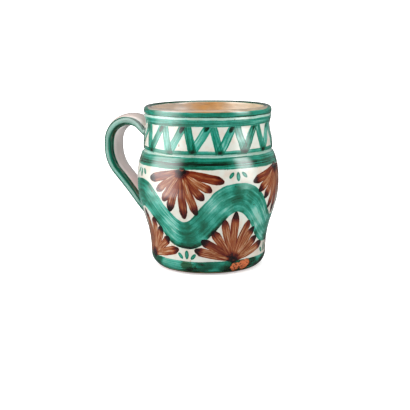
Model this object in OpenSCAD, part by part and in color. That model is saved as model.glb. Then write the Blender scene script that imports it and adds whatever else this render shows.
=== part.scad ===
// A wheel-thrown mug of red clay with a pulled strap handle, painted and glazed.
// The foot stands on z = 0, the axis of the pot is z, and the handle points to -X.

/* [Pot] */
// Height from the table to the crest of the lip
height = 93.5; // [88:0.5:104]
// Radius of the belly at its widest ring
belly_r = 41.4; // [40.4:0.1:45]
// Height of the shoulder, from the belly's widest ring up to the shoulder's edge
shoulder_h = 17.2; // [14:0.2:20]
// Radius of the upright foot
foot_r = 33.9; // [31:0.1:36]
// Rounding under the foot, which is also where the flare to the belly starts
foot_round = 8.5; // [5:0.5:10]
// How far the shoulder's edge stands out from the collar
shoulder_step = 0.7; // [0.3:0.1:2]
// Height of the collar, from the shoulder's edge to the lip's crest
collar_h = 26.3; // [24:0.2:30]
// Radius of the collar just above the crease
collar_r = 37.6; // [36:0.1:39]
// Depth of the crease between shoulder and collar
crease_d = 0.6; // [0.2:0.1:1]
// Height of the crease
crease_h = 2.2; // [1.6:0.1:3]
// How far the neck, the collar's narrowest ring, draws in from the collar
neck_in = 1.6; // [0:0.1:4]
// Distance from the neck up to the lip's crest
neck_drop = 10.5; // [9:0.5:13]
// Radius of the lip
lip_r = 37; // [36:0.1:39]
// Thickness of the rounded lip
lip_t = 4.2; // [3.4:0.1:5]

/* [Wall] */
// Thickness of the clay wall
wall = 3.8; // [3:0.1:5]
// Thickness of the clay floor
floor_t = 6; // [4.5:0.5:8]
// Rounding between wall and floor inside
floor_round = 10; // [6:1:14]

/* [Glaze] */
// Thickness of the fired glaze
glaze_t = 0.5; // [0.3:0.1:0.8]
// Height at which the bare foot ends and the glaze starts
bare_h = 1.2; // [0.6:0.1:2.4]
// Diameter of the larger chip in the glaze
chip_d = 6; // [3:0.5:8]

/* [Handle] */
// Width of the strap at its upper root
strap_w = 17.5; // [14:0.5:22]
// Thickness of the strap at its edges
strap_t = 6.2; // [4.8:0.2:7]
// Crown of the strap's outer face above its edges
strap_crown = 0.8; // [0.4:0.1:1.6]
// Room for a finger, from the belly's widest ring out to the strap
finger_gap = 17.6; // [14:0.2:24]
// How far the top of the strap lies below the lip
top_drop = 6.2; // [5:0.1:10]
// How far below the belly's widest ring the strap's middle meets the pot
root_drop = 18.6; // [12:0.2:24]
// Bend radius over the top of the loop
top_bend = 13.5; // [11:0.5:15]
// Bend radius at the side of the loop
side_bend = 20; // [12:1:24]
// Slope at which the strap leaves the collar
rise_angle = 38; // [30:1:46]
// Straight stretch at the side, between the two bends
side_run = 3.8; // [1:0.2:8]
// Thickness of the slip that sticks the strap to the wall
slip_t = 0.5; // [0.3:0.1:0.8]

/* [Hidden] */
clay = "indianred";
wet_clay = "rosybrown";
white_glaze = "ivory";
honey_glaze = "burlywood";
green_glaze = "seagreen";
round_fn = 128;

// Places that follow from the driving sizes
shoulder_z = height - collar_h;
belly_z = shoulder_z - shoulder_h;
shoulder_r = collar_r + shoulder_step;
neck_r = collar_r - neck_in;
neck_z = height - neck_drop;
collar_z = shoulder_z + crease_h;
lip_z = height - lip_t / 2;

// Shares of each stretch at which its two curve handles lie
flare_share = [0.476, 0.588];
shoulder_share = [0.465, 0.727];
shoulder_in_share = 0.645;
crease_share = [0.35, 0.65];
crease_pull_share = 1.45;
collar_share = [0.56, 0.7];
lip_share = [0.26, 0.34];
inner_share = [0.38, 0.62];
inner_lip_share = [0.4, 0.6];

// Points of a cubic curve with end points a, d and handles b, c
function curve(a, b, c, d, n) = [for (i = [0:n]) let (t = i / n, u = 1 - t)
    u * u * u * a + 3 * u * u * t * b + 3 * u * t * t * c + t * t * t * d];
// Points of an arc from angle a0 to a1
function arc(c, r, a0, a1, n) = [for (i = [0:n]) let (a = a0 + (a1 - a0) * i / n)
    c + r * [cos(a), sin(a)]];
// Curve between two rings that leaves both of them upright, with its handles at two shares
function upright(r0, z0, r1, z1, share, n) = curve([r0, z0], [r0, z0 + share[0] * (z1 - z0)],
    [r1, z0 + share[1] * (z1 - z0)], [r1, z1], n);
// The points in reverse order, and all but the first of them
function reversed(p) = [for (i = [len(p) - 1:-1:0]) p[i]];
function rest(p) = [for (i = [1:len(p) - 1]) p[i]];

// Rounding of the bare foot, and the angle on it where the glaze starts
foot_clay_round = foot_round - glaze_t;
glaze_start = asin((bare_h - foot_clay_round) / foot_clay_round);
foot_centre = [foot_r - foot_round, foot_clay_round];
crest_r = lip_r - lip_t / 2;

// The wall's stretches from the belly up to the neck, moved out by k from the glazed outside
function shoulder_line(k) = curve([belly_r + k, belly_z],
    [belly_r + k, belly_z + shoulder_share[0] * shoulder_h],
    [shoulder_r + k + shoulder_in_share * (belly_r - shoulder_r), belly_z + shoulder_share[1] * shoulder_h],
    [shoulder_r + k, shoulder_z], 12);
function crease_line(k) =
    let (deep_r = collar_r + k - crease_pull_share * crease_d)
    curve([shoulder_r + k, shoulder_z], [deep_r, shoulder_z + crease_share[0] * crease_h],
        [deep_r, shoulder_z + crease_share[1] * crease_h], [collar_r + k, collar_z], 8);
function collar_line(k) = upright(collar_r + k, collar_z, neck_r + k, neck_z, collar_share, 10);

// Outside of the pot from the foot's rounding up to the crest, at cover t over the clay
function outside(t, start) =
    let (k = t - glaze_t)
    concat(
        arc(foot_centre, foot_clay_round + t, start, 0, 8),
        rest(upright(foot_r + k, foot_clay_round, belly_r + k, belly_z, flare_share, 18)),
        rest(shoulder_line(k)),
        rest(crease_line(k)),
        rest(collar_line(k)),
        rest(upright(neck_r + k, neck_z, lip_r + k, lip_z, lip_share, 8)),
        rest(arc([crest_r, lip_z], lip_t / 2 + k, 0, 90, 8)));

// Inside of the pot from the crest down to the middle of the floor, at cover t over the clay
inner_foot_r = foot_r - glaze_t - wall;
inner_foot_z = floor_t + floor_round;
function inside(t) =
    let (k = -glaze_t - wall - t)
    concat(
        arc([crest_r, lip_z], lip_t / 2 + t - glaze_t, 90, 180, 8),
        rest(upright(lip_r - lip_t - t + glaze_t, lip_z, neck_r + k, neck_z, inner_lip_share, 6)),
        rest(reversed(collar_line(k))),
        reversed(shoulder_line(k)),
        rest(upright(belly_r + k, belly_z, inner_foot_r - t, inner_foot_z, inner_share, 16)),
        rest(arc([inner_foot_r - floor_round, inner_foot_z], floor_round - t, 0, -90, 8)),
        [[0, floor_t + t]]);

// The pot's outside as a filled solid, at cover t over the clay
module filled(t) {
    rotate_extrude($fn = round_fn)
        polygon(concat([[0, 0]], outside(t, -90), [[0, height - glaze_t + t]]));
}

// Radius of the clay wall at height z
function wall_r(z) = lookup(z, [for (p = outside(0, 0)) [p[1], p[0]]]);

// Route of the strap's middle in the plane of the handle, as [distance from the axis, height]
loop_r = belly_r + finger_gap + strap_t / 2;
loop_top = height - top_drop - strap_t / 2 - strap_crown;
top_centre = [loop_r - top_bend, loop_top - top_bend];
side_centre = [loop_r - side_bend, top_centre[1] - side_run];
root_z = belly_z - root_drop;
root = [wall_r(root_z), root_z];
// The lower bend turns until the strap points straight at its lower root
to_root = root - side_centre;
turn = -atan2(to_root[1], to_root[0]) - acos(side_bend / norm(to_root));
rise_start = top_centre + top_bend * [-sin(rise_angle), cos(rise_angle)];
fall_start = side_centre + side_bend * [cos(turn), -sin(turn)];
// The strap's ends are buried this deep in the pot before the pot is cut out of them
buried = 2 * wall;
rise_end = rise_start - (rise_start[0] - neck_r + buried) * [1, tan(rise_angle)];
fall_end = root + buried * (root - fall_start) / norm(root - fall_start);

strap_route = concat(
    [for (i = [0:5]) rise_end + (rise_start - rise_end) * i / 6],
    arc(top_centre, top_bend, 90 + rise_angle, 0, 16),
    arc(side_centre, side_bend, 0, -turn, 8),
    [for (i = [1:10]) fall_start + (fall_end - fall_start) * i / 10]);
ring_count = len(strap_route);

// Width and thickness of the strap as shares of their full size, at shares of its route
width_shares = [[0, 1], [0.3, 0.97], [1, 0.8]];
thickness_shares = [[0, 0.74], [0.3, 0.92], [0.5, 1], [0.65, 1], [1, 0.82]];
// Flare of the strap where it is smoothed into the wall
root_flare_share = 0.36;
root_flare = root_flare_share * strap_t;
root_flare_len = strap_t;
// Power of the section's rounded outline: 2 is an ellipse, more is squarer
section_power = 4;
section_points = 20;

function power(v) = sign(v) * pow(abs(v), 2 / section_power);
// How much wider the strap gets on each side at point p of its route, near the wall
function flare(p) = root_flare * exp(-pow(max(0, p[0] - wall_r(p[1])) / root_flare_len, 2));
// One ring of the strap at point i of its route, grown by t all round
function ring(i, t) =
    let (p = strap_route[i],
         next = strap_route[min(i + 1, ring_count - 1)],
         last = strap_route[max(i - 1, 0)],
         along = (next - last) / norm(next - last),
         out = [-along[1], along[0]],
         s = i / (ring_count - 1),
         half_w = strap_w / 2 * lookup(s, width_shares) + flare(p) + t,
         half_t = strap_t / 2 * lookup(s, thickness_shares) + t)
    [for (k = [0:section_points - 1])
        let (a = 360 * k / section_points,
             x = half_w * power(cos(a)),
             crown = max(0, sin(a)) * strap_crown * (1 - pow(x / half_w, 2)),
             y = half_t * power(sin(a)) + crown,
             q = p + out * y)
        [-q[0], x, q[1]]];

function side_faces(rings, first, flip) = [for (i = [0:rings - 2]) for (k = [0:section_points - 1])
    let (a = first + i * section_points, n = (k + 1) % section_points,
         f = [a + k, a + n, a + n + section_points, a + k + section_points])
    flip ? reversed(f) : f];

// The solid strap, grown by t all round
module strap(t) {
    points = [for (i = [0:ring_count - 1]) each ring(i, t)];
    last = (ring_count - 1) * section_points;
    start = [for (k = [section_points - 1:-1:0]) k];
    end = [for (k = [0:section_points - 1]) last + k];
    polyhedron(points, concat(side_faces(ring_count, 0, false), [start, end]));
}

// The strap's glaze: a tube between the bare strap and the strap grown by the glaze
module strap_skin() {
    outer = [for (i = [0:ring_count - 1]) each ring(i, glaze_t)];
    inner = [for (i = [0:ring_count - 1]) each ring(i, 0)];
    first = len(outer);
    last = (ring_count - 1) * section_points;
    rim = [for (k = [0:section_points - 1]) let (n = (k + 1) % section_points)
        each [[n, k, first + k, first + n],
              [last + k, last + n, first + last + n, first + last + k]]];
    polyhedron(concat(outer, inner), concat(side_faces(ring_count, 0, false),
        side_faces(ring_count, first, true), rim));
}

// The shell of slip just outside the wall, above or below the middle of the handle
module slip_shell(from, to) {
    intersection() {
        difference() {
            filled(slip_t);
            filled(0);
        }
        translate([0, 0, from]) cylinder(r = 2 * belly_r, h = to - from);
    }
}

// Chips in the glaze at the foot, as [place round the foot, height up the foot's rounding, size],
// the first and last as shares of the chip's diameter
chip_turn = -39.6;
chip_shares = [[0, 0.5, 0.85], [1.05, 0.62, 1]];

module body() {
    color(clay) rotate_extrude($fn = round_fn)
        polygon(concat([[0, 0]], outside(0, -90), rest(inside(0))));
}

module handle() {
    color(clay) difference() {
        strap(0);
        filled(slip_t);
    }
}

module upper_slip_joint() {
    color(wet_clay) intersection() {
        strap(0);
        slip_shell(belly_z, height);
    }
}

module lower_slip_joint() {
    color(wet_clay) intersection() {
        strap(0);
        slip_shell(0, belly_z);
    }
}

module outer_glaze() {
    color(white_glaze) difference() {
        rotate_extrude($fn = round_fn)
            polygon(concat(outside(glaze_t, glaze_start), reversed(outside(0, glaze_start))));
        strap(glaze_t);
        for (c = chip_shares) rotate(chip_turn + c[0] * chip_d / foot_r * 180 / PI)
            translate([foot_r - foot_round, 0, c[1] * foot_round]) rotate([0, 90, 0])
                cylinder(d = c[2] * chip_d, h = 2 * foot_round, $fn = 24);
    }
}

module liner_glaze() {
    color(honey_glaze) rotate_extrude($fn = round_fn)
        polygon(concat(inside(0), reversed(inside(glaze_t))));
}

module handle_glaze() {
    color(green_glaze) difference() {
        strap_skin();
        filled(0);
    }
}

body();
handle();
upper_slip_joint();
lower_slip_joint();
outer_glaze();
liner_glaze();
handle_glaze();
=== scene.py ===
import math
import bmesh
import bpy
from mathutils import Matrix, Vector, noise


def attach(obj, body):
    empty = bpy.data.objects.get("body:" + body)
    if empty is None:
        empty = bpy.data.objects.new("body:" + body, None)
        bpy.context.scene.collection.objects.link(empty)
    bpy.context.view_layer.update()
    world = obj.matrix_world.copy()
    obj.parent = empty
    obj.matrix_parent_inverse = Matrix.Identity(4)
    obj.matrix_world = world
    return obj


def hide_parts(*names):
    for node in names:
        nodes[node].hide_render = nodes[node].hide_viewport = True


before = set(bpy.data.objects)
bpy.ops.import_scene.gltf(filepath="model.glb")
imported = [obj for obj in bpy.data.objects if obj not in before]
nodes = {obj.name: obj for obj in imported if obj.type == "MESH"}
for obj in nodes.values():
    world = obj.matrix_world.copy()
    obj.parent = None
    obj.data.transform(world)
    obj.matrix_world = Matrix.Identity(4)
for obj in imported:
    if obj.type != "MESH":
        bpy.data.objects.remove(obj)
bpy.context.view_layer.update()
scene = bpy.context.scene
mm = 0.001
toDegrees = 180 / math.pi
toRadians = math.pi / 180
print("frame loaded with", len(nodes), "nodes")

cameraView = {
    "azimuth": 23.0,  # degrees round the pot, 0 looks along +Y
    "distance": 0.5191,  # metres from the pot's axis
    "height": 0.1355,
    "turn": 23.21,
    "tilt": 78.98,  # degrees up from looking straight down
    "roll": -0.37,
    "lens": 78.54,
}


def makeCamera(v):
    data = bpy.data.cameras.new("camera")
    data.lens = v["lens"]
    data.sensor_width = 36
    data.clip_start = 0.01
    data.clip_end = 20
    camera = bpy.data.objects.new("camera", data)
    scene.collection.objects.link(camera)
    a = math.radians(v["azimuth"])
    turn = Matrix.Rotation(math.radians(v["turn"]), 4, "Z")
    tilt = Matrix.Rotation(math.radians(v["tilt"]), 4, "X")
    roll = Matrix.Rotation(math.radians(v["roll"]), 4, "Z")
    eye = (v["distance"] * math.sin(a), -v["distance"] * math.cos(a), v["height"])
    camera.matrix_world = Matrix.Translation(eye) @ turn @ tilt @ roll
    scene.camera = camera


makeCamera(cameraView)
print("camera placed")

potShape = {  # millimetres, as in the solid model
    "height": 93.5,
    "bellyR": 41.4,
    "bellyZ": 50.0,
    "shoulderR": 38.3,
    "shoulderZ": 67.2,
    "footR": 33.9,
    "footRound": 8.5,
    "collarR": 37.6,
    "collarZ": 69.4,
    "creaseD": 0.6,
    "neckR": 36.0,
    "neckZ": 83.0,
    "lipR": 37.0,
    "lipT": 4.2,
    "wall": 3.8,
    "floorT": 6.0,
    "floorRound": 10.0,
    "glazeT": 0.5,
    "bareH": 1.2,  # height of the bare clay foot
    "seamAngle": 163.0,  # place on the lip's rounding where the liner starts
    "footPull": (0.476, 0.588),  # how far up each curve's control points lie, as shares of its climb
    "shoulderPull": (0.465, 0.727),
    "shoulderHang": 0.645,  # how far out the upper one lies, as a share of the step inwards
    "creasePull": (0.35, 0.65),
    "creaseDip": 1.45,  # how deep the control points lie for a crease of depth 1
    "collarPull": (0.56, 0.7),
    "lipPull": (0.26, 0.34),
    "innerLipPull": (0.4, 0.6),
    "innerFootPull": (0.38, 0.62),
}
lipZ = potShape["height"] - potShape["lipT"] / 2
crestR = potShape["lipR"] - potShape["lipT"] / 2
footZ = potShape["footRound"] - potShape["glazeT"]
footCentre = (potShape["footR"] - potShape["footRound"], footZ)
glazeStart = math.degrees(math.asin((potShape["bareH"] - footZ) / footZ))


def cubic(a, b, c, d, n):
    points = []
    for i in range(n + 1):
        t = i / n
        u = 1 - t
        shares = (u ** 3, 3 * u * u * t, 3 * u * t * t, t ** 3)
        points.append(tuple(sum(s * p[j] for s, p in zip(shares, (a, b, c, d))) for j in (0, 1)))
    return points


def arc(centre, radius, start, end, n):
    angles = [math.radians(start + (end - start) * i / n) for i in range(n + 1)]
    return [(centre[0] + radius * math.cos(a), centre[1] + radius * math.sin(a)) for a in angles]


def upright(r0, z0, r1, z1, share, n):
    return cubic((r0, z0), (r0, z0 + share[0] * (z1 - z0)), (r1, z0 + share[1] * (z1 - z0)), (r1, z1), n)


def shoulderLine(k, n):
    p = potShape
    low, high = p["shoulderPull"]
    climb = p["shoulderZ"] - p["bellyZ"]
    inward = p["shoulderR"] + k + p["shoulderHang"] * (p["bellyR"] - p["shoulderR"])
    return cubic((p["bellyR"] + k, p["bellyZ"]), (p["bellyR"] + k, p["bellyZ"] + low * climb),
                 (inward, p["bellyZ"] + high * climb), (p["shoulderR"] + k, p["shoulderZ"]), n)


def creaseLine(k, n):
    p = potShape
    low, high = p["creasePull"]
    deepR = p["collarR"] + k - p["creaseDip"] * p["creaseD"]
    climb = p["collarZ"] - p["shoulderZ"]
    return cubic((p["shoulderR"] + k, p["shoulderZ"]), (deepR, p["shoulderZ"] + low * climb),
                 (deepR, p["shoulderZ"] + high * climb), (p["collarR"] + k, p["collarZ"]), n)


def collarLine(k, n):
    p = potShape
    return upright(p["collarR"] + k, p["collarZ"], p["neckR"] + k, p["neckZ"], p["collarPull"], n)


def joined(*lines):
    points = list(lines[0])
    for line in lines[1:]:
        points += line[1:]
    return points


# outside from the foot over the crest to the liner's edge, at cover t over the clay
def outsideLine(t, fine):
    p = potShape
    k = t - p["glazeT"]
    return joined(
        arc(footCentre, footZ + t, glazeStart, 0, 10 * fine),
        upright(p["footR"] + k, footZ, p["bellyR"] + k, p["bellyZ"], p["footPull"], 26 * fine),
        shoulderLine(k, 14 * fine),
        creaseLine(k, 8 * fine),
        collarLine(k, 10 * fine),
        upright(p["neckR"] + k, p["neckZ"], p["lipR"] + k, lipZ, p["lipPull"], 14 * fine),
        arc((crestR, lipZ), p["lipT"] / 2 + k, 0, p["seamAngle"], 12 * fine))


# inside from the liner's edge down to the middle of the floor, at cover t over the clay
def insideLine(t):
    p = potShape
    k = -p["glazeT"] - p["wall"] - t
    footR = p["footR"] - p["glazeT"] - p["wall"]
    rimR = p["lipR"] - p["lipT"] - t + p["glazeT"]
    floorZ = p["floorT"] + p["floorRound"]
    return joined(
        arc((crestR, lipZ), p["lipT"] / 2 + t - p["glazeT"], p["seamAngle"], 180, 2),
        upright(rimR, lipZ, p["neckR"] + k, p["neckZ"], p["innerLipPull"], 6),
        collarLine(k, 8)[::-1] + shoulderLine(k, 12)[::-1],
        upright(p["bellyR"] + k, p["bellyZ"], footR - t, floorZ, p["innerFootPull"], 18),
        arc((footR - p["floorRound"], floorZ), p["floorRound"] - t, 0, -90, 10),
        [((footR - p["floorRound"]) * (1 - i / 9), p["floorT"] + t) for i in range(10)])


wallPoints = outsideLine(potShape["glazeT"], 1)


# radius over the glaze at height z, millimetres
def wallR(z):
    for (r0, z0), (r1, z1) in zip(wallPoints, wallPoints[1:]):
        if z0 <= z <= z1:
            return r0 + (r1 - r0) * (z - z0) / (z1 - z0)
    return wallPoints[0][0]


hand = {  # its unevenness on the wheel; ring, oval and touch are shares that add up to 1
    "ring": 0.45,
    "oval": 0.35,
    "ovalTwist": 60.0,  # millimetres up the pot for one radian
    "touch": 0.2,
    "touchAround": 1.6,
    "touchHeight": 9.0,
}


# how far in from the true line the hand left the wall, in millimetres
def thrown(angle, z, pitch, depth):
    o = hand
    ring = 0.5 + 0.5 * math.cos(2 * math.pi * z / pitch + angle)
    oval = 0.5 + 0.5 * math.sin(2 * angle + 1.1 + z / o["ovalTwist"])
    around = o["touchAround"]
    place = Vector((math.cos(angle) * around, math.sin(angle) * around, z / o["touchHeight"]))
    touch = 0.5 + 0.5 * noise.noise(place)
    return depth * (o["ring"] * ring + o["oval"] * oval + o["touch"] * touch)


def pushIn(vert, inward):
    r = math.hypot(vert.co.x, vert.co.y)
    vert.co.x *= 1 - inward / r
    vert.co.y *= 1 - inward / r


def turnLine(bm, verts, edges, columns):
    bmesh.ops.spin(bm, geom=verts + edges, cent=(0, 0, 0), axis=(0, 0, 1), dvec=(0, 0, 0),
                   angle=2 * math.pi, steps=columns, use_merge=True, use_duplicate=False)
    bmesh.ops.remove_doubles(bm, verts=bm.verts, dist=1e-6)
    if bm.calc_volume(signed=True) < 0:
        bmesh.ops.reverse_faces(bm, faces=bm.faces)


def makeObject(bm, name, sharpAngle=45):
    mesh = bpy.data.meshes.new(name)
    bm.to_mesh(mesh)
    bm.free()
    mesh.shade_smooth()
    mesh.set_sharp_from_angle(angle=math.radians(sharpAngle))
    piece = bpy.data.objects.new(name, mesh)
    scene.collection.objects.link(piece)
    return piece


outerCoat = {
    "columns": 216,
    "grooveZ": 89.1,  # fine groove cut under the lip
    "grooveDepth": 0.3,
    "grooveWidth": 0.5,
    "ringPitch": 5.2,  # throwing rings
    "ringDepth": 0.16,
    "chipD": 7.2,
    "chips": [(-39.6, 4.25, 0.85), (-29.0, 5.27, 1.0)],  # angle, height, share of the size
    "chipSharpAngle": 38,
}

chipEdge = {
    "points": 30,
    "wander": 0.3,  # shares of the radius
    "wanderScale": 1.7,
    "ragged": 0.16,
    "raggedScale": 5.2,
    "startR": 24.0,  # the cutter runs from here outwards through the glaze
    "reach": 20.0,
}


def makeOuterGlaze(o):
    glazeT = potShape["glazeT"]
    cover = []
    for r, z in outsideLine(glazeT, 2):
        if r > crestR:
            r -= o["grooveDepth"] * math.exp(-((z - o["grooveZ"]) / o["grooveWidth"]) ** 2)
        cover.append((r, z))
    clay = outsideLine(0, 1)[::-1]
    line = cover + clay + cover[:1]
    bm = bmesh.new()
    shown = bm.verts.layers.float.new("shown")
    verts = [bm.verts.new((r * mm, 0, z * mm)) for r, z in line[:-1]]
    for vert in verts[:len(cover)]:
        vert[shown] = 1
    edges = [bm.edges.new((a, b)) for a, b in zip(verts, verts[1:] + verts[:1])]
    turnLine(bm, verts, edges, o["columns"])
    for vert in bm.verts:
        if vert[shown] > 0.5:
            angle = math.atan2(vert.co.y, vert.co.x)
            pushIn(vert, thrown(angle, vert.co.z / mm, o["ringPitch"], o["ringDepth"]) * mm)
    bm.verts.layers.float.remove(shown)
    piece = makeObject(bm, "outerGlaze")
    for i, (turn, z, share) in enumerate(o["chips"]):
        cutter = makeChipCutter(chipEdge, turn, z, share * o["chipD"] / 2, i)
        cut = piece.modifiers.new("chip", "BOOLEAN")
        cut.operation = "DIFFERENCE"
        cut.solver = "EXACT"
        cut.object = cutter
        applyModifiers(piece)
        bpy.data.objects.remove(cutter)
    piece.data.set_sharp_from_angle(angle=math.radians(o["chipSharpAngle"]))
    return piece


def makeChipCutter(o, turn, z, radius, seed):
    bm = bmesh.new()
    bmesh.ops.create_circle(bm, cap_ends=True, radius=radius * mm, segments=o["points"])
    for vert in bm.verts:
        coarse = vert.co.normalized() * o["wanderScale"] + Vector((0, 0, 5.3 + 3.1 * seed))
        fine = vert.co.normalized() * o["raggedScale"] + Vector((0, 0, 9.1 + 2.3 * seed))
        vert.co *= 1 + o["wander"] * noise.noise(coarse) + o["ragged"] * noise.noise(fine)
    grown = bmesh.ops.extrude_face_region(bm, geom=bm.faces[:])
    moved = [v for v in grown["geom"] if isinstance(v, bmesh.types.BMVert)]
    bmesh.ops.translate(bm, vec=(0, 0, o["reach"] * mm), verts=moved)
    lay = Matrix.Rotation(math.radians(90), 3, "Y")
    bmesh.ops.rotate(bm, cent=(0, 0, 0), matrix=lay, verts=bm.verts)
    bmesh.ops.translate(bm, vec=(o["startR"] * mm, 0, z * mm), verts=bm.verts)
    around = Matrix.Rotation(math.radians(turn), 3, "Z")
    bmesh.ops.rotate(bm, cent=(0, 0, 0), matrix=around, verts=bm.verts)
    bmesh.ops.recalc_face_normals(bm, faces=bm.faces)
    return makeObject(bm, "chipCutter")


def applyModifiers(piece):
    graph = bpy.context.evaluated_depsgraph_get()
    mesh = bpy.data.meshes.new_from_object(piece.evaluated_get(graph), depsgraph=graph)
    piece.modifiers.clear()
    old = piece.data
    piece.data = mesh
    mesh.name = piece.name
    bpy.data.meshes.remove(old)


linerCoat = {
    "columns": 180,
    "ringPitch": 4.4,
    "ringDepth": 0.28,
    "evenR": 22.0,  # the floor inside this radius stays even
    "seamPoints": 3,  # points next to the outer coat that stay in place
}


def makeLinerGlaze(o):
    cover = insideLine(potShape["glazeT"])
    clay = insideLine(0)[::-1]
    bm = bmesh.new()
    shown = bm.verts.layers.float.new("shown")
    verts = [bm.verts.new((r * mm, 0, z * mm)) for r, z in clay + cover]
    for vert in verts[len(clay) + o["seamPoints"]:]:
        vert[shown] = 1
    edges = [bm.edges.new(pair) for pair in zip(verts, verts[1:])]
    turnLine(bm, verts, edges, o["columns"])
    for vert in bm.verts:
        if vert[shown] > 0.5 and math.hypot(vert.co.x, vert.co.y) > o["evenR"] * mm:
            angle = math.atan2(vert.co.y, vert.co.x)
            pushIn(vert, -thrown(angle, vert.co.z / mm, o["ringPitch"], o["ringDepth"]) * mm)
    bm.verts.layers.float.remove(shown)
    return makeObject(bm, "linerGlaze")


outerGlaze = makeOuterGlaze(outerCoat)
linerGlaze = makeLinerGlaze(linerCoat)
print("pot's glaze made:", len(outerGlaze.data.polygons), len(linerGlaze.data.polygons))

strapShape = {  # millimetres, in the plane of the handle: distance from the axis and height
    "width": 17.5,
    "thick": 6.2,
    "crown": 0.8,
    "topCentre": (48.6, 69.9),
    "topBend": 13.5,
    "climbAngle": 38.0,
    "sideCentre": (42.1, 66.1),
    "sideBend": 20.0,
    "rootZ": 31.4,
    "widthShares": [(0, 1), (0.3, 0.97), (1, 0.8)],
    "thickShares": [(0, 0.74), (0.3, 0.92), (0.5, 1), (0.65, 1), (1, 0.82)],
    "flare": 2.23,  # widening where it is smoothed into the wall
    "flareLength": 6.2,
    "fillet": 2.0,
    "filletSteps": 6,
    "leadSteps": 6,  # steps along the strap up to the fillet
    "edgeSink": 0.03,  # how deep the fillet's edge lies in the wall
    "tuckSink": 0.35,  # and the ring that closes it
    "coatT": 0.42,  # thinner than the solid's glaze, to stay clear of the clay
    "power": 2.7,  # squareness of the section
    "ringPoints": 48,
    "rings": (16, 30, 16, 30),  # along the climb, the top bend, the side bend and the fall
    "solidRings": (6, 16, 8, 10),  # the same in the solid model
}


def mixShares(table, s):
    for (s0, v0), (s1, v1) in zip(table, table[1:]):
        if s <= s1:
            return v0 + (v1 - v0) * (s - s0) / (s1 - s0)
    return table[-1][1]


def strapRoute(o):
    top = Vector(o["topCentre"])
    side = Vector(o["sideCentre"])
    climb = math.radians(o["climbAngle"])
    clayR = wallR(o["rootZ"]) - potShape["glazeT"]
    root = Vector((clayR, o["rootZ"]))
    toRoot = root - side
    turn = -math.atan2(toRoot.y, toRoot.x) - math.acos(o["sideBend"] / toRoot.length)
    climbEnd = top + o["topBend"] * Vector((-math.sin(climb), math.cos(climb)))
    fallStart = side + o["sideBend"] * Vector((math.cos(turn), -math.sin(turn)))
    buried = 2 * potShape["wall"]
    climbStart = climbEnd - (climbEnd.x - potShape["neckR"] + buried) * Vector((1, math.tan(climb)))
    fallEnd = root + buried * (root - fallStart).normalized()
    onClimb, onTop, onSide, onFall = o["rings"]
    route = [climbStart.lerp(climbEnd, i / onClimb) for i in range(onClimb)]
    route += [Vector(p) for p in arc(top, o["topBend"], 90 + o["climbAngle"], 0, onTop)]
    route += [Vector(p) for p in arc(side, o["sideBend"], 0, -math.degrees(turn), onSide)]
    route += [fallStart.lerp(fallEnd, i / onFall) for i in range(1, onFall + 1)]
    return route


def signedPower(v, p):
    return math.copysign(abs(v) ** p, v)


# each ring's share of the way along the strap, counted as the solid model counts its rings
def strapShares(o):
    steps = [[solid / here] * here for here, solid in zip(o["rings"], o["solidRings"])]
    steps.insert(2, [1])  # the straight piece between the bends
    counts = [0]
    for step in sum(steps, []):
        counts.append(counts[-1] + step)
    return [c / counts[-1] for c in counts]


def strapRing(o, route, shares, i, grown):
    p = route[i]
    along = (route[min(i + 1, len(route) - 1)] - route[max(i - 1, 0)]).normalized()
    out = Vector((-along.y, along.x))
    wallGap = max(0, p.x - (wallR(p.y) - potShape["glazeT"]))
    flare = o["flare"] * math.exp(-(wallGap / o["flareLength"]) ** 2)
    halfW = o["width"] / 2 * mixShares(o["widthShares"], shares[i]) + flare + grown
    halfT = o["thick"] / 2 * mixShares(o["thickShares"], shares[i]) + grown
    points = []
    for k in range(o["ringPoints"]):
        a = 2 * math.pi * k / o["ringPoints"]
        x = halfW * signedPower(math.cos(a), 2 / o["power"])
        crown = max(0, math.sin(a)) * o["crown"] * (1 - (x / halfW) ** 2)
        y = halfT * signedPower(math.sin(a), 2 / o["power"]) + crown
        q = p + out * y
        points.append((Vector((-q.x, x, q.y)), x / halfW, y / halfT))
    return points


def gapToWall(p):
    return math.hypot(p.x, p.y) - wallR(p.z)


# how far along a column of ring points it comes to the given distance from the wall
def columnPlace(column, gap):
    for i, (a, b) in enumerate(zip(column, column[1:])):
        ga = gapToWall(a)
        gb = gapToWall(b)
        if ga > gap >= gb:
            return i + (ga - gap) / (ga - gb)
    return len(column) - 1


def columnPoint(column, place):
    i = min(int(place), len(column) - 2)
    return column[i].lerp(column[i + 1], place - i)


# rings along the strap and on through the fillet, each with its nearness to the wall from 0 to 1;
# every column of points runs towards the wall
def filletRings(o, columns):
    places = [columnPlace(c, o["fillet"]) for c in columns]
    starts = [columnPoint(c, p) for c, p in zip(columns, places)]
    hits = [columnPoint(c, columnPlace(c, 0)) for c in columns]
    middle = sum(hits, Vector()) / len(hits)
    ends = []
    for hit in hits:
        outward = Vector((hit.x, hit.y, 0)).normalized()
        side = hit - middle
        side -= outward * side.dot(outward)
        end = hit + side.normalized() * o["fillet"]
        ends.append(setOnWall(end, -o["edgeSink"]))
    rings = []
    for i in range(1, o["leadSteps"]):
        rings.append(([columnPoint(c, p * i / o["leadSteps"]) for c, p in zip(columns, places)], 0))
    for i in range(o["filletSteps"] + 1):
        t = i / o["filletSteps"]
        u = 1 - t
        points = [u * u * a + 2 * u * t * b + t * t * c for a, b, c in zip(starts, hits, ends)]
        rings.append((points, i / (o["filletSteps"] + 1)))
    rings.append(([setOnWall(e, -o["tuckSink"]) for e in ends], 1))
    return rings


def setOnWall(p, gap):
    scale = (wallR(p.z) + gap) / math.hypot(p.x, p.y)
    return Vector((p.x * scale, p.y * scale, p.z))


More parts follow.
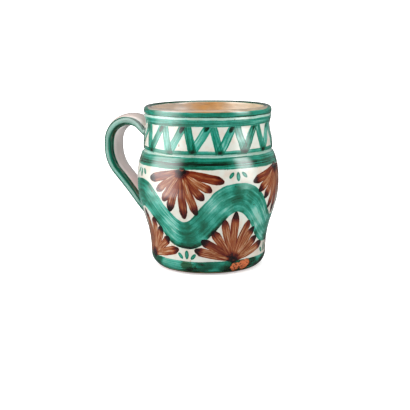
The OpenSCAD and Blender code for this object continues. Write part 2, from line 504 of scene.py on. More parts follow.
def makeHandleGlaze(o):
    route = strapRoute(o)
    shares = strapShares(o)
    rings = [strapRing(o, route, shares, i, potShape["glazeT"]) for i in range(len(route))]
    count = o["ringPoints"]
    columns = [[ring[k][0] for ring in rings] for k in range(count)]
    gaps = [min(gapToWall(p) for p, _, _ in ring) for ring in rings]
    clear = [i for i, gap in enumerate(gaps) if gap > o["fillet"] + 0.1]
    first = clear[0]
    last = clear[-1]
    upper = filletRings(o, [c[first::-1] for c in columns])
    lower = filletRings(o, [c[last:] for c in columns])
    allRings = [(points, shares[first], near) for points, near in upper[::-1]]
    allRings += [([p for p, _, _ in rings[i]], shares[i], 0) for i in range(first, last + 1)]
    allRings += [(points, shares[last], near) for points, near in lower]
    bm = bmesh.new()
    across = bm.verts.layers.float.new("across")
    outer = bm.verts.layers.float.new("outer")
    along = bm.verts.layers.float.new("along")
    joint = bm.verts.layers.float.new("joint")
    made = bmesh.ops.create_circle(bm, cap_ends=False, radius=mm, segments=count)
    verts = made["verts"]
    edges = bm.edges[:]
    for i, (points, share, nearWall) in enumerate(allRings):
        if i:
            grown = bmesh.ops.extrude_edge_only(bm, edges=edges)["geom"]
            fresh = {g for g in grown if isinstance(g, bmesh.types.BMVert)}
            edges = [g for g in grown if isinstance(g, bmesh.types.BMEdge) and fresh.issuperset(g.verts)]
            verts = nextRing(verts, fresh)
        for k, vert in enumerate(verts):
            vert.co = points[k] * mm
            vert[across] = rings[first][k][1]
            vert[outer] = rings[first][k][2]
            vert[along] = share
            vert[joint] = nearWall
    bmesh.ops.recalc_face_normals(bm, faces=bm.faces)
    piece = makeObject(bm, "handleGlaze", 60)
    coat = piece.modifiers.new("coat", "SOLIDIFY")
    coat.thickness = o["coatT"] * mm
    coat.offset = -1
    applyModifiers(piece)
    return piece


# the extruded vertices in the order of the ring they came from
def nextRing(verts, fresh):
    ring = []
    for vert in verts:
        neighbours = [edge.other_vert(vert) for edge in vert.link_edges]
        ring += [other for other in neighbours if other in fresh]
    return ring


handleGlaze = makeHandleGlaze(strapShape)
print("handle's glaze made:", len(handleGlaze.data.polygons))


# a node's output that can be added, multiplied and so on
class Wire:
    def __init__(self, tree, socket):
        self.tree = tree
        self.socket = socket

    def __add__(self, other):
        return mathNode(self.tree, "ADD", self, other)

    def __radd__(self, other):
        return mathNode(self.tree, "ADD", other, self)

    def __sub__(self, other):
        return mathNode(self.tree, "SUBTRACT", self, other)

    def __rsub__(self, other):
        return mathNode(self.tree, "SUBTRACT", other, self)

    def __mul__(self, other):
        return mathNode(self.tree, "MULTIPLY", self, other)

    def __rmul__(self, other):
        return mathNode(self.tree, "MULTIPLY", other, self)

    def __truediv__(self, other):
        return mathNode(self.tree, "DIVIDE", self, other)

    def op(self, kind, *others):
        return mathNode(self.tree, kind, self, *others)


def feed(tree, socket, value):
    if isinstance(value, Wire):
        tree.links.new(value.socket, socket)
    else:
        socket.default_value = value


def mathNode(tree, kind, *values):
    node = tree.nodes.new("ShaderNodeMath")
    node.operation = kind
    for place, value in enumerate(values):
        feed(tree, node.inputs[place], value)
    return Wire(tree, node.outputs[0])


# 0 below low, 1 above high; the other way round where low is the larger
def rise(x, low, high):
    node = x.tree.nodes.new("ShaderNodeMapRange")
    node.interpolation_type = "SMOOTHSTEP"
    feed(x.tree, node.inputs["Value"], x)
    feed(x.tree, node.inputs["From Min"], low)
    feed(x.tree, node.inputs["From Max"], high)
    return Wire(x.tree, node.outputs["Result"])


def band(x, low, high, soft):
    return rise(x, low - soft, low + soft) * rise(x, high + soft, high - soft)


def bump(x, middle, width):
    return rise((x - middle).op("ABSOLUTE"), width, 0.0)


def blend(a, b, t):
    return a + (b - a) * t


def blendAll(first, second, t):
    return [blend(a, b, t) for a, b in zip(first, second)]


def vector(tree, x, y, z):
    node = tree.nodes.new("ShaderNodeCombineXYZ")
    for place, value in enumerate((x, y, z)):
        feed(tree, node.inputs[place], value)
    return Wire(tree, node.outputs[0])


def stretched(v, x, y, z):
    node = v.tree.nodes.new("ShaderNodeVectorMath")
    node.operation = "MULTIPLY"
    v.tree.links.new(v.socket, node.inputs[0])
    node.inputs[1].default_value = (x, y, z)
    return Wire(v.tree, node.outputs[0])


def cloud(v, scale, detail=2.0, rough=0.5, out="Fac"):
    node = v.tree.nodes.new("ShaderNodeTexNoise")
    node.noise_dimensions = "3D"
    v.tree.links.new(v.socket, node.inputs["Vector"])
    node.inputs["Scale"].default_value = scale
    node.inputs["Detail"].default_value = detail
    node.inputs["Roughness"].default_value = rough
    return Wire(v.tree, node.outputs[out])


def split(v, kind="ShaderNodeSeparateXYZ"):
    node = v.tree.nodes.new(kind)
    v.tree.links.new(v.socket, node.inputs[0])
    return [Wire(v.tree, out) for out in node.outputs]


# three random numbers that stay the same over one stroke
def chance(x):
    node = x.tree.nodes.new("ShaderNodeTexWhiteNoise")
    node.noise_dimensions = "1D"
    x.tree.links.new(x.socket, node.inputs["W"])
    return split(Wire(x.tree, node.outputs["Color"]), "ShaderNodeSeparateColor")


def colour(tree, red, green, blue):
    node = tree.nodes.new("ShaderNodeCombineColor")
    for place, value in enumerate((red, green, blue)):
        feed(tree, node.inputs[place], value)
    return Wire(tree, node.outputs[0])


def newMaterial(name):
    material = bpy.data.materials.new(name)
    material.use_nodes = True
    tree = material.node_tree
    shader = tree.nodes["Principled BSDF"]
    coords = tree.nodes.new("ShaderNodeTexCoord")
    place = tree.nodes.new("ShaderNodeVectorMath")
    place.operation = "SCALE"
    place.inputs["Scale"].default_value = 1 / mm
    tree.links.new(coords.outputs["Object"], place.inputs[0])
    return material, tree, shader, Wire(tree, place.outputs[0])


def addBump(tree, shader, height, distance):
    node = tree.nodes.new("ShaderNodeBump")
    node.inputs["Distance"].default_value = distance * mm
    node.inputs["Strength"].default_value = 1.0
    tree.links.new(height.socket, node.inputs["Height"])
    tree.links.new(node.outputs["Normal"], shader.inputs["Normal"])


paintColours = {
    "ground": (0.58, 0.60, 0.54),  # tin white
    "blush": (0.59, 0.51, 0.43),  # white over a warmer spot of clay
    "green": (4.6, 1.2, 1.5),  # what copper green takes from red, green and blue
    "brown": (0.79, 1.93, 2.9),  # what manganese brown takes
    "warmth": 0.9,  # how far the warmer spots go
    "front": 67.0,  # degrees from the front of the painting to the +X side of the pot
}

gloss = {
    "roughness": 0.3,
    "index": 1.5,
    "specular": 0.12,
    "coatRoughness": 0.09,
    "coatIndex": 1.8,
}


# the ground seen through coats of green and brown of the given thickness
def paintedColour(tree, ground, greenCoat, brownCoat):
    parts = []
    for white, green, brown in zip(ground, paintColours["green"], paintColours["brown"]):
        taken = greenCoat * green + brownCoat * brown
        parts.append(white * (taken * -1.0).op("EXPONENT"))
    return colour(tree, *parts)


def groundParts(place):
    warm = rise(cloud(place, 0.14, 3.0, 0.6), 0.4, 0.64) * paintColours["warmth"]
    return blendAll(paintColours["ground"], paintColours["blush"], warm)


def glossy(shader):
    shader.inputs["Roughness"].default_value = gloss["roughness"]
    shader.inputs["IOR"].default_value = gloss["index"]
    shader.inputs["Specular IOR Level"].default_value = gloss["specular"]
    shader.inputs["Coat Weight"].default_value = 1.0
    shader.inputs["Coat Roughness"].default_value = gloss["coatRoughness"]
    shader.inputs["Coat IOR"].default_value = gloss["coatIndex"]


brush = {
    "streaks": 3.4,  # contrast of the streaks that the hairs leave
    "edge": 0.2,  # softness of a stroke's edge, millimetres
    "rim": 0.35,  # extra paint along the edge
}

collarPaint = {
    "strokes": 16,
    "firstAngle": 9.5,  # degrees from the front to the foot of the first V
    "leftLean": -3.6,  # millimetres from the V's foot to the top of its left arm
    "rightLean": 8.9,
    "footZ": 69.9,
    "topZ": 84.4,
    "halfWidth": 2.3,
    "cover": (68.7, 84.2),
    "arcPerDegree": 0.6458,  # millimetres along the collar
    "reach": 9.5,  # degrees that belong to a V before its foot
    "strayTurn": 2.6,  # degrees
    "strayZ": 1.2,
    "poolAlong": 15.2,  # pool of paint near the top of the right arm
    "poolHalfWidth": 1.5,
    "poolHalfLength": 2.9,
    "poolLoad": 0.9,
    "poolSpread": 2.8,
    "poolFront": 3.0,  # more on the V at the front
}

lipPaint = {  # angles in degrees up the lip's rounding
    "lowZ": 89.35,  # millimetres
    "frontEdge": 18.0,
    "sideEdge": 9.0,  # added at the sides
    "backEdge": 118.0,  # and at the back, where the green runs over the crest
    "wander": 10.0,
    "streaks": 2.0,
    "crest": (40.0, 80.0),  # where the green gets heavier at the back
    "crestLoad": 1.4,
    "lowLoad": 1.5,
}

bandPaint = {  # heights in millimetres
    "underLip": (84.3, 88.05),
    "underLipLine": (87.5, 89.6),  # white line with a thin wash of green
    "crease": (69.1, 71.2),
    "shoulder": (61.4, 67.6),
    "shoulderLine": (67.0, 69.6),
    "foot": 8.45,
    "soft": 0.14,
    "shoulderSoft": 0.16,
    "underLipLoad": 0.85,
    "lineLoad": 0.13,
    "creaseLoad": 0.95,
    "shoulderLoad": 0.95,
    "footLoad": 0.6,
    "footPatches": 1.3,
    "darkZ": 64.3,  # dark stroke along the shoulder
    "darkLoad": 0.7,
    "darkFront": 1.2,
    "darkPatches": 0.8,
}

bellyPaint = {
    "waves": 4,  # of the green band; each has one fan above it and one below
    "hillAngle": 24.0,
    "waveZ": 34.8,
    "waveRise": 10.8,
    "waveHalfWidth": 8.0,
    "waveR": 40.0,
    "waveLoad": 0.76,
    "waveStreaks": 2.4,
    "wavePatches": 2.2,
    "waveLowLoad": 1.6,
    "greenZ": (7.8, 61.8),
    "brownZ": (6.5, 62.5),
    "fanLow": 9.0,
    "fanHigh": 60.4,
    "leafRank": 4.0,  # leaves on each side of the middle one
    "leafAngle": 18.5,
    "leafStray": 5.0,
    "leafLength": 22.6,
    "leafMiddle": 6.4,  # how much longer the middle leaf is
    "leafLast": 2.4,  # and the last leaf on each side
    "leafShorter": 2.4,  # how much shorter a leaf can turn out
    "leafHalfWidth": 2.4,
    "leafRim": 0.6,
    "dabSize": (1.15, 2.4),  # half its width and length
    "dabZ": 3.2,
    "sideDabSize": (1.0, 2.0),
    "sideDabPlace": (3.9, 2.3),
    "sideDabTurn": (0.72, 0.69),
}


# one slanted brush stroke from a foot at (0, 0) to a top at (lean, height)
def slantStroke(a, b, lean, height, halfWidth, seed, load):
    length = math.hypot(lean, height)
    ux, uz = lean / length, height / length
    along = a * ux + b * uz
    across = a * uz - b * ux
    streak = cloud(vector(a.tree, across * 1.3, along * 0.08, seed), 1.0, 2.0, 0.6)
    side = across.op("ABSOLUTE")
    edge = brush["edge"]
    body = rise(side, halfWidth + edge, halfWidth - edge) * rise(along, -1.2, -0.2)
    rim = rise(side, halfWidth - 0.9, halfWidth) * brush["rim"]
    paint = (load * (0.9 + (streak - 0.5) * brush["streaks"])).op("MAXIMUM", 0.16)
    return along, across, body * (paint + rim)


# one V of the zigzag, its foot at turn s = 0: two arms, and pools near the right one's top and at the foot
def vCover(o, s, z, k, theta):
    turn = k.op("FLOORED_MODULO", float(o["strokes"]))
    stray = chance(turn * 1.37 + 4.2)
    load = chance(turn * 2.11 + 17.7)
    a = (s + (stray[0] - 0.5) * o["strayTurn"]) * o["arcPerDegree"]
    b = z - o["footZ"] + (stray[1] - 0.5) * o["strayZ"]
    height = o["topZ"] - o["footZ"]
    half = o["halfWidth"]
    seed = k * 3.7
    _, _, left = slantStroke(a, b, o["leftLean"], height, half, seed, 0.6 + 0.6 * load[0])
    along, across, right = slantStroke(a, b, o["rightLean"], height, half, seed + 9.1, 0.6 + 0.6 * load[1])
    poolSide = (across + (load[0] - 0.5) * 1.4) / o["poolHalfWidth"]
    poolEnd = (along - o["poolAlong"] - load[1]) / o["poolHalfLength"]
    pool = rise((poolSide * poolSide + poolEnd * poolEnd).op("SQRT"), 1.1, 0.6)
    heavy = load[2] * load[2] * o["poolSpread"] + o["poolLoad"] + bump(theta, 2.0, 6.0) * o["poolFront"]
    foot = bump(a, 0.2, 2.0) * bump(b, 0.0, 2.0) * (0.6 + 2.0 * stray[2])
    both = left.op("MAXIMUM", right) + 0.45 * left.op("MINIMUM", right)
    return both + pool * heavy + foot


def collarCover(o, theta, z):
    pitch = 360.0 / o["strokes"]
    s = theta - o["firstAngle"]
    k = ((s + o["reach"]) / pitch).op("FLOOR")
    here = s - k * pitch
    cover = vCover(o, here, z, k, theta).op("MAXIMUM", vCover(o, here + pitch, z, k - 1.0, theta))
    return cover * band(z, *o["cover"], 0.15)


# the lip's paint stops high outside at the front and runs over the crest at the back
def lipCover(o, place, theta, z, turned, streak):
    facing = (theta * toRadians).op("COSINE")
    away = rise(facing, 0.5, 0.0)
    wander = (cloud(place, 0.3, 2.0) - 0.5) * o["wander"]
    top = o["frontEdge"] + rise(facing, 1.0, 0.6) * o["sideEdge"] + away * o["backEdge"] + wander
    body = rise(z, o["lowZ"] - 0.15, o["lowZ"] + 0.15) * rise(turned - top, 5.0, -5.0)
    crest = away * rise(turned, *o["crest"]) * o["crestLoad"]
    low = bump(z, o["lowZ"] + 0.15, 0.6) * o["lowLoad"]
    return body * (1.0 + (streak - 0.5) * o["streaks"] + crest + low), body


def bandsCover(o, place, theta, z, turned):
    streak = cloud(stretched(place, 0.03, 0.03, 1.5), 1.0, 3.0, 0.65)
    load = (1.0 + (streak - 0.5) * brush["streaks"]).op("MAXIMUM", 0.25)
    patch = cloud(stretched(place, 0.06, 0.06, 0.12), 1.0, 1.0)
    soft = o["soft"]
    lip, onLip = lipCover(lipPaint, place, theta, z, turned, streak)
    upper = band(z, *o["underLip"], soft) * (load * o["underLipLoad"] + bump(z, 84.7, 0.9) * 0.4)
    upper = upper.op("MAXIMUM", band(z, *o["underLipLine"], soft) * o["lineLoad"])
    thin = band(z, *o["crease"], soft) * (load * o["creaseLoad"])
    shoulder = load * o["shoulderLoad"] + rise(z, 66.0, 62.5) * 0.25
    shoulder = band(z, *o["shoulder"], o["shoulderSoft"]) * shoulder
    shoulder = shoulder.op("MAXIMUM", band(z, *o["shoulderLine"], soft) * o["lineLoad"])
    offDark = (z + (streak - 0.5) * 3.0 - o["darkZ"]).op("ABSOLUTE")
    front = bump(theta, -6.0, 40.0) * o["darkFront"]
    darkLoad = o["darkLoad"] + front + rise(patch, 0.42, 0.62) * o["darkPatches"]
    dark = rise(offDark, 1.6, 0.5) * rise(streak, 0.3, 0.5) * darkLoad
    footLoad = load * o["footLoad"] + bump(z, 2.4, 1.2) * 0.4
    footLoad = footLoad + rise(patch, 0.46, 0.64) * o["footPatches"]
    foot = rise(z, o["foot"] + 0.15, o["foot"] - 0.15) * footLoad
    cover = lip.op("MAXIMUM", upper).op("MAXIMUM", thin)
    cover = cover.op("MAXIMUM", shoulder + dark)
    return cover.op("MAXIMUM", foot), onLip


# the band that rises and falls round the belly: its cover, whether a point lies above it, and streaks
def garlandCover(o, place, theta, z):
    turned = (theta - o["hillAngle"]) * (o["waves"] * toRadians)
    swing = turned.op("COSINE")
    slope = turned.op("SINE") * (o["waveRise"] * o["waves"] / o["waveR"])
    off = z - o["waveZ"] - swing * o["waveRise"]
    across = off / (slope * slope + 1.0).op("SQRT")
    streak = cloud(vector(place.tree, across * 0.8, theta * 0.05, 3.3), 1.0, 4.0, 0.7)
    load = cloud(stretched(place, 0.07, 0.07, 0.07), 1.0, 2.0)
    offEdge = across.op("ABSOLUTE") - o["waveHalfWidth"] - (load - 0.5) * 1.6
    meet = rise(swing.op("ABSOLUTE") + (streak - 0.5) * 0.16, 0.9, 0.99) * 0.3
    lowEdge = across + o["waveHalfWidth"]
    low = rise(lowEdge, 2.6, 0.3) * rise(load, 0.42, 0.58) * o["waveLowLoad"]
    rim = rise(offEdge, -1.0, 0.0) * 0.3
    cover = o["waveLoad"] + (streak - 0.5) * o["waveStreaks"] + (load - 0.5) * o["wavePatches"]
    cover = (cover + meet + low + rim).op("MAXIMUM", 0.2)
    return rise(offEdge, 0.2, -0.2) * cover, rise(off, -0.05, 0.05), streak


# half fans of leaves; step counts the fans round the pot, r is the distance from its axis
def fanCover(o, place, step, above, z, r):
    k = step.op("ROUND")
    du = (step - k) * (360.0 / o["waves"] * toRadians) * r
    dv = blend(z - o["fanLow"], o["fanHigh"] - z, above)
    rho = (du * du + dv * dv).op("SQRT")
    alpha = du.op("ARCTAN2", dv) * toDegrees
    fanId = k.op("FLOORED_MODULO", float(o["waves"])) * 2.0 + above
    leaf = (alpha / o["leafAngle"]).op("ROUND")
    leaf = leaf.op("MAXIMUM", -o["leafRank"]).op("MINIMUM", o["leafRank"])
    leafId = leaf + fanId * 11.0
    stray = chance(leafId * 1.7 + 3.1)
    beta = (alpha - leaf * o["leafAngle"] + (stray[0] - 0.5) * o["leafStray"]) * toRadians
    across = rho * beta.op("SINE")
    along = rho * beta.op("COSINE")
    rank = leaf.op("ABSOLUTE")
    middle = (1.0 - rank * 0.5).op("MAXIMUM", 0.0) * o["leafMiddle"]
    last = (rank - (o["leafRank"] - 1.0)).op("MAXIMUM", 0.0) * o["leafLast"]
    t = along / (middle + last - stray[1] * o["leafShorter"] + o["leafLength"])
    width = (0.55 + 0.45 * rise(t, 0.0, 0.6)) * o["leafHalfWidth"]
    tip = ((1.0 - t) / 0.16).op("MAXIMUM", 0.0).op("SQRT").op("MINIMUM", 1.0)
    side = across.op("ABSOLUTE")
    shape = rise(side - width * tip, 0.18, -0.18) * rise(t, 1.0, 0.99)
    shape = shape * rise(beta.op("ABSOLUTE"), 0.8, 0.7)
    grain = cloud(vector(place.tree, across * 1.5, along * 0.09, leafId * 0.7), 1.0, 3.0, 0.65)
    load = 0.7 + 0.6 * stray[2] + (grain - 0.5) * brush["streaks"]
    load = load + rise(side, width - 0.8, width) * o["leafRim"]
    tipPool = rise(t, 0.74, 0.97) * (0.8 + 2.2 * stray[0])
    ragged = rho + (cloud(place, 0.5, 1.0) - 0.5) * 3.0
    root = rise(ragged, 5.5, 1.5) * 1.6
    inked = (load.op("MAXIMUM", 0.3) + tipPool + root).op("POWER", 1.25) * 1.25
    return shape * inked + rise(ragged, 2.6, 1.4) * 1.7


def dab(x, y, size):
    far = (x * x / (size[0] * size[0]) + y * y / (size[1] * size[1])).op("SQRT")
    return rise(far, 1.1, 0.9) * (0.7 + 0.6 * rise(far, 0.3, 0.95))


# three dabs between every two fans
def dabsCover(o, step, above, z, r):
    shifted = step + 0.5
    du = ((shifted - shifted.op("ROUND")) * (360.0 / o["waves"] * toRadians) * r).op("ABSOLUTE")
    dv = blend(z - o["fanLow"], o["fanHigh"] - z, above)
    x = du - o["sideDabPlace"][0]
    y = dv - o["sideDabPlace"][1]
    c, s = o["sideDabTurn"]
    side = dab(x * c - y * s, x * s + y * c, o["sideDabSize"])
    return dab(du, dv - o["dabZ"], o["dabSize"]).op("MAXIMUM", side)


# green and brown cover on the belly
def bellyCover(o, place, theta, z, r):
    garland, above, streak = garlandCover(o, place, theta, z)
    step = (theta - o["hillAngle"]) / (360.0 / o["waves"]) + above * 0.5
    dabs = dabsCover(o, step, above, z, r) * (0.6 + 0.8 * streak)
    green = garland.op("MAXIMUM", dabs) * band(z, *o["greenZ"], 0.1)
    brown = fanCover(o, place, step, above, z, r) * band(z, *o["brownZ"], 0.1)
    return green, brown


linerTones = {
    "base": (0.86, 0.55, 0.31),
    "honey": (0.86, 0.45, 0.16),
    "cream": (0.95, 0.77, 0.54),
    "beige": (0.83, 0.70, 0.58),
    "coatWeight": 0.6,
    "coatRoughness": 0.2,
    "paintedRimShade": 0.34,  # how much darker the honey is painted near the rim: painted shade inside the mouth
    "paintedShadeZ": (78.0, 88.0),  # heights between which the painted shade sets in
    "paintedCrestShade": 0.45,  # more painted shade on the outer side of the crest
    "halfWidth": 33.0,  # from the middle of the mouth to its side
    "blotches": 0.76,  # their contrast
}


# the honey coat inside and over the rim: beige on one side, creamier on the other, with painted shade near
# the rim
def linerParts(o, place, x, y, z):
    a = math.radians(90.0 - paintColours["front"])
    # painted shade: the honey gets darker towards the rim
    top = rise(z, *o["paintedShadeZ"]) * o["paintedRimShade"]
    right = (x * math.cos(a) + y * math.sin(a)) / o["halfWidth"]
    patch = cloud(place, 0.07, 3.0, 0.6)
    blot = cloud(stretched(place, 0.12, 0.12, 0.35), 1.0, 3.0, 0.6)
    honey = rise(patch + (blot - 0.5) * 0.5, 0.36, 0.62) * rise(right.op("ABSOLUTE"), 1.1, 0.0)
    honey = honey * (0.5 + 0.5 * rise(z, 30.0, 80.0))
    pale = rise(right + (blot - 0.5) * 0.6, 0.02, 0.8)
    left = rise(right + (blot - 0.5) * 0.5, -0.05, -0.75)
    parts = blendAll(o["base"], o["honey"], honey)
    parts = blendAll(parts, o["cream"], pale)
    parts = blendAll(parts, o["beige"], left)
    # blotches, and the painted shade near the rim
    shade = (1.0 + (blot - 0.5) * o["blotches"]) * (1.0 - top)
    return [part * shade for part in parts]


strokeWander = {  # how far the paint strays from its true place, in slow and in fast waves
    "up": (1.1, 0.35),  # millimetres
    "round": (2.4, 0.5),  # degrees
}

wear = {  # where the coats end, what is spread over them, and the painted shade on the crest
    "bareZ": (2.0, 1.4),  # heights between which the paint ends above the foot
    "bareGreen": 0.9,
    "bareBrown": 0.8,
    "specks": 0.7,
    "rust": 0.5,
    "crestZ": (91.0, 91.7),  # heights between which the honey starts on the lip
    "crestShadeTurn": (160.0, 100.0),  # where on its rounding the painted shade sets in
}


def makePaintedGlaze():
    material, tree, shader, place = newMaterial("paintedGlaze")
    x, y, z0 = split(place)
    r = (x * x + y * y).op("SQRT")
    slow = split(cloud(place, 0.09, 1.0, out="Color"), "ShaderNodeSeparateColor")
    fast = split(cloud(place, 0.9, 2.0, 0.6, out="Color"), "ShaderNodeSeparateColor")
    up = strokeWander["up"]
    z = z0 + (slow[0] - 0.5) * up[0] + (fast[0] - 0.5) * up[1]
    theta = y.op("ARCTAN2", x) * toDegrees + paintColours["front"]
    aside = strokeWander["round"]
    theta = theta + (slow[1] - 0.5) * aside[0] + (fast[1] - 0.5) * aside[1]
    turned = (z0 - lipZ).op("ARCTAN2", r - crestR) * toDegrees
    bands, onLip = bandsCover(bandPaint, place, theta, z, turned)
    vees = collarCover(collarPaint, theta, z)
    garland, brown = bellyCover(bellyPaint, place, theta, z, r)
    green = bands.op("MAXIMUM", vees) + 0.3 * bands.op("MINIMUM", vees)
    mottle = cloud(place, 0.1, 3.0, 0.6)
    grain = cloud(place, 1.1, 2.0, 0.7)
    bare = rise(z0, *wear["bareZ"])
    green = green.op("MAXIMUM", garland) * (1.0 + (mottle - 0.5) * 1.3 + (grain - 0.5) * 0.6)
    green = green * (1.0 - bare * wear["bareGreen"])
    speck = rise(cloud(place, 0.5, 1.0), 0.76, 0.79) * wear["specks"]
    rust = rise(mottle + (grain - 0.5) * 0.3, 0.55, 0.66) * rise(z, 22.0, 8.0) * wear["rust"]
    brown = brown + speck + (bare * wear["bareBrown"]).op("MAXIMUM", rust * rise(green, 0.2, 0.5))
    crest = rise(z0, *wear["crestZ"]) * (1.0 - onLip)
    # painted shade on the crest's outer side, darkening the honey there
    thick = 1.0 - rise(turned, *wear["crestShadeTurn"]) * linerTones["paintedCrestShade"]
    honey = [part * thick for part in linerParts(linerTones, place, x, y, z0)]
    look = paintedColour(tree, blendAll(groundParts(place), honey, crest), green, brown)
    tree.links.new(look.socket, shader.inputs["Base Color"])
    glossy(shader)
    rings = cloud(stretched(place, 0.02, 0.02, 0.8), 1.0, 2.0)
    height = cloud(place, 0.2, 2.0) * 1.6 + rings * 0.25 + green * 0.06 + brown * 0.06
    addBump(tree, shader, height, 0.12)
    return material


def makeHoneyGlaze(o):
    material, tree, shader, place = newMaterial("honeyGlaze")
    x, y, z = split(place)
    look = colour(tree, *linerParts(o, place, x, y, z))
    tree.links.new(look.socket, shader.inputs["Base Color"])
    glossy(shader)
    shader.inputs["Coat Weight"].default_value = o["coatWeight"]
    shader.inputs["Coat Roughness"].default_value = o["coatRoughness"]
    addBump(tree, shader, cloud(place, 0.3, 2.0), 0.15)
    return material


def attribute(tree, name):
    node = tree.nodes.new("ShaderNodeAttribute")
    node.attribute_name = name
    return Wire(tree, node.outputs["Fac"])


handlePaint = {
    "inside": (0.92, 0.83, 0.82),  # the white on the face towards the pot, painted lighter than the outer white: painted light on that shaded face
    "outside": (0.56, 0.46, 0.42),
    "edgeOutside": 0.84,  # how far across the strap the green of its sides starts
    "edgeInside": 0.68,
    "load": 1.2,  # paint on the sides
    "streaks": 2.6,
    "innerLoad": 1.1,  # more towards the pot
    "lineLoad": 0.5,  # dark line along the side
    "lineLoadTop": 1.6,  # more near the collar
    "arris": 0.5,  # how much thinner the paint is on the outer edge; the paler line it leaves is also a painted highlight
    "jointLoad": 0.4,
    "jointBrown": 0.12,
}


def makeGreenGlaze(o):
    material, tree, shader, place = newMaterial("greenGlaze")
    across = attribute(tree, "across").op("ABSOLUTE")
    outer = attribute(tree, "outer")
    along = attribute(tree, "along")
    joint = attribute(tree, "joint")
    wobble = (cloud(place, 0.12, 2.0) - 0.5) * 0.08
    streak = cloud(vector(tree, across * 9.0, along * 6.0, outer * 4.0), 1.0, 3.0, 0.6)
    edge = blend(o["edgeInside"], o["edgeOutside"], rise(outer, -0.4, 0.3))
    side = rise(across + wobble - edge, 0.0, 0.04)
    inner = rise(outer + wobble * 3.0, 0.1, -0.7) * o["innerLoad"] * rise(joint, 0.6, 0.0)
    line = bump(outer, 0.62, 0.22) * (o["lineLoad"] + o["lineLoadTop"] * rise(along, 0.28, 0.14))
    # thinner paint along the outer edge, partly a painted highlight
    arris = bump(outer, 0.9, 0.14) * o["arris"]
    load = (o["load"] + (streak - 0.5) * o["streaks"]).op("MAXIMUM", 0.4) + inner + line - arris
    green = side * (load + joint * o["jointLoad"]) * rise(joint, 0.95, 0.5)
    warm = 0.9 + 0.2 * cloud(place, 0.14, 3.0, 0.6)
    # lighter white towards the pot: painted light on the shaded inner face
    ground = [part * warm for part in blendAll(o["inside"], o["outside"], rise(outer, -0.5, 0.5))]
    look = paintedColour(tree, ground, green, joint * o["jointBrown"])
    tree.links.new(look.socket, shader.inputs["Base Color"])
    glossy(shader)
    addBump(tree, shader, cloud(place, 0.25, 2.0), 0.12)
    return material


clays = {
    "body": {"name": "redClay", "tone": (0.58, 0.14, 0.04), "roughness": 0.8},
    "handle": {"name": "handleClay", "tone": (0.55, 0.12, 0.03), "roughness": 0.8},
    "upper_slip_joint": {"name": "slip", "tone": (0.45, 0.13, 0.05), "roughness": 0.7},
    "lower_slip_joint": {"name": "slip", "tone": (0.45, 0.13, 0.05), "roughness": 0.7},
}


def makeClay(o):
    material, tree, shader, place = newMaterial(o["name"])
    grain = cloud(place, 2.2, 4.0, 0.7)
    patch = cloud(place, 0.15, 3.0)
    grit = rise(cloud(place, 1.0, 1.0), 0.56, 0.64)
    shade = (0.45 + 0.65 * grain + 0.35 * patch) * (1.0 - 0.8 * grit)
    look = colour(tree, *[shade * part for part in o["tone"]])
    tree.links.new(look.socket, shader.inputs["Base Color"])
    shader.inputs["Roughness"].default_value = o["roughness"]
    addBump(tree, shader, grain + grit, 0.12)
    return material


def dress(piece, material):
    piece.data.materials.clear()
    piece.data.materials.append(material)


dress(outerGlaze, makePaintedGlaze())
dress(linerGlaze, makeHoneyGlaze(linerTones))
dress(handleGlaze, makeGreenGlaze(handlePaint))
for nodeName, clay in clays.items():
    clayMaterial = makeClay(clay)
    for nodeSlot in nodes[nodeName].material_slots:
        nodeSlot.material = clayMaterial
print("materials made")

studio = {
    "floorSize": 6.0,
    "floorTone": 0.95,
    "floorGlow": 0.4,  # lifts the contact shadow, for the camera only
    "floorMirrored": 0.1,  # share of the floor's tone that the glaze mirrors
    "leftMirrored": 1.5,  # the same near the left box, brighter: a painted pool of its light, seen only in reflections
    "leftReach": (210.0, 80.0),  # millimetres from the box between which it changes
    "haloGlow": 0.6,  # more floor glow for the camera away from the mug
    "haloReach": (200.0, 700.0),
    "skyFront": 0.05,
    "skyBack": 0.25,
    "ceiling": 2.0,
    "fill": 0.25,  # more light all round that the glaze doesn't mirror
    "backdrop": 1.1,
    "leftBox": {
        "angle": -74,  # degrees from the camera
        "distance": 0.3,
        "width": 0.45,
        "height": 0.5,
        "glow": 4.7,
        "fade": (-0.3, 0.4),  # shares of its height between which it brightens
    },
    "rightBox": {
        "angle": 61.5,
        "distance": 0.3,
        "width": 0.22,
        "height": 0.5,
        "glow": 5.8,
        "fade": (-0.1, 0.42),
    },
}


# where a box stands on the table, millimetres
def boxFoot(box):
    a = math.radians(cameraView["azimuth"] - 90 + box["angle"])
    return box["distance"] * math.cos(a) / mm, box["distance"] * math.sin(a) / mm


def makeFloor(o):
    bm = bmesh.new()
    bmesh.ops.create_grid(bm, x_segments=1, y_segments=1, size=o["floorSize"] / 2)
    floor = makeObject(bm, "floor")
    material, tree, shader, place = newMaterial("floor")
    tone = o["floorTone"] + (cloud(place, 0.004, 2.0) - 0.5) * 0.02
    x, y, _ = split(place)
    footX, footY = boxFoot(o["leftBox"])
    nearBox = ((x - footX) * (x - footX) + (y - footY) * (y - footY)).op("SQRT")
    # painted pool of light near the left box, seen only in reflections
    mirrored = blend(o["floorMirrored"], o["leftMirrored"], rise(nearBox, *o["leftReach"]))
    ray = tree.nodes.new("ShaderNodeLightPath")
    seen = Wire(tree, ray.outputs["Is Camera Ray"])
    tone = tone * blend(1.0, mirrored, Wire(tree, ray.outputs["Is Glossy Ray"]))
    tree.links.new(colour(tree, tone, tone, tone).socket, shader.inputs["Base Color"])
    shader.inputs["Emission Color"].default_value = (1, 1, 1, 1)
    far = rise((x * x + y * y).op("SQRT"), *o["haloReach"]) * o["haloGlow"]
    tree.links.new((seen * (far + o["floorGlow"])).socket, shader.inputs["Emission Strength"])
    shader.inputs["Roughness"].default_value = 0.9
    shader.inputs["Specular IOR Level"].default_value = 0.0
    dress(floor, material)


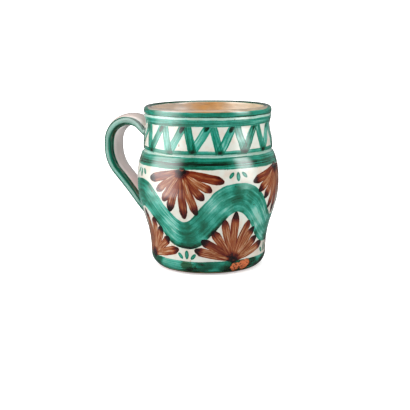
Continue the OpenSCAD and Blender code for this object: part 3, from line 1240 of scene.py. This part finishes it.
# a lit screen that stands on the table and fades towards its sides and its foot
def sideBox(name, box):
    data = bpy.data.lights.new(name, "AREA")
    data.shape = "RECTANGLE"
    data.size = box["width"]
    data.size_y = box["height"]
    data.energy = box["glow"] * math.pi * box["width"] * box["height"]
    data.use_nodes = True
    tree = data.node_tree
    geometry = tree.nodes.new("ShaderNodeNewGeometry")
    u, v, _ = split(Wire(tree, geometry.outputs["Parametric"]))
    fade = rise((u - 0.5).op("ABSOLUTE"), 0.5, 0.1) * rise(v, *box["fade"])
    tree.links.new(fade.socket, tree.nodes["Emission"].inputs["Strength"])
    light = bpy.data.objects.new(name, data)
    scene.collection.objects.link(light)
    footX, footY = boxFoot(box)
    light.location = (footX * mm, footY * mm, box["height"] / 2 + 0.002)
    light.rotation_mode = "QUATERNION"
    light.rotation_quaternion = Vector((-footX, -footY, 0)).to_track_quat("-Z", "Y")


def makeSky(o):
    world = bpy.data.worlds.new("sky")
    scene.world = world
    world.use_nodes = True
    tree = world.node_tree
    background = tree.nodes["Background"]
    coords = tree.nodes.new("ShaderNodeTexCoord")
    x, y, z = split(Wire(tree, coords.outputs["Generated"]))
    a = math.radians(cameraView["azimuth"])
    back = y * math.cos(a) - x * math.sin(a)
    glow = blend(o["skyFront"], o["skyBack"], rise(back, -0.3, 0.5))
    glow = glow + rise(z, 0.78, 0.92) * o["ceiling"]
    ray = tree.nodes.new("ShaderNodeLightPath")
    seen = Wire(tree, ray.outputs["Is Camera Ray"])
    glow = glow + Wire(tree, ray.outputs["Is Diffuse Ray"]) * o["fill"]
    tree.links.new(blend(glow, o["backdrop"], seen).socket, background.inputs["Strength"])
    background.inputs["Color"].default_value = (1, 1, 1, 1)


makeFloor(studio)
makeSky(studio)
sideBox("leftBox", studio["leftBox"])
sideBox("rightBox", studio["rightBox"])
scene.view_settings.view_transform = "Standard"
print("studio set")

for piece, node, slotName in ((outerGlaze, "outer_glaze", "painted_glaze"),
                              (linerGlaze, "liner_glaze", "honey_glaze"),
                              (handleGlaze, "handle_glaze", "green_glaze")):
    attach(piece, "root")
    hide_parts(node)

print("pieces ride on the frame")
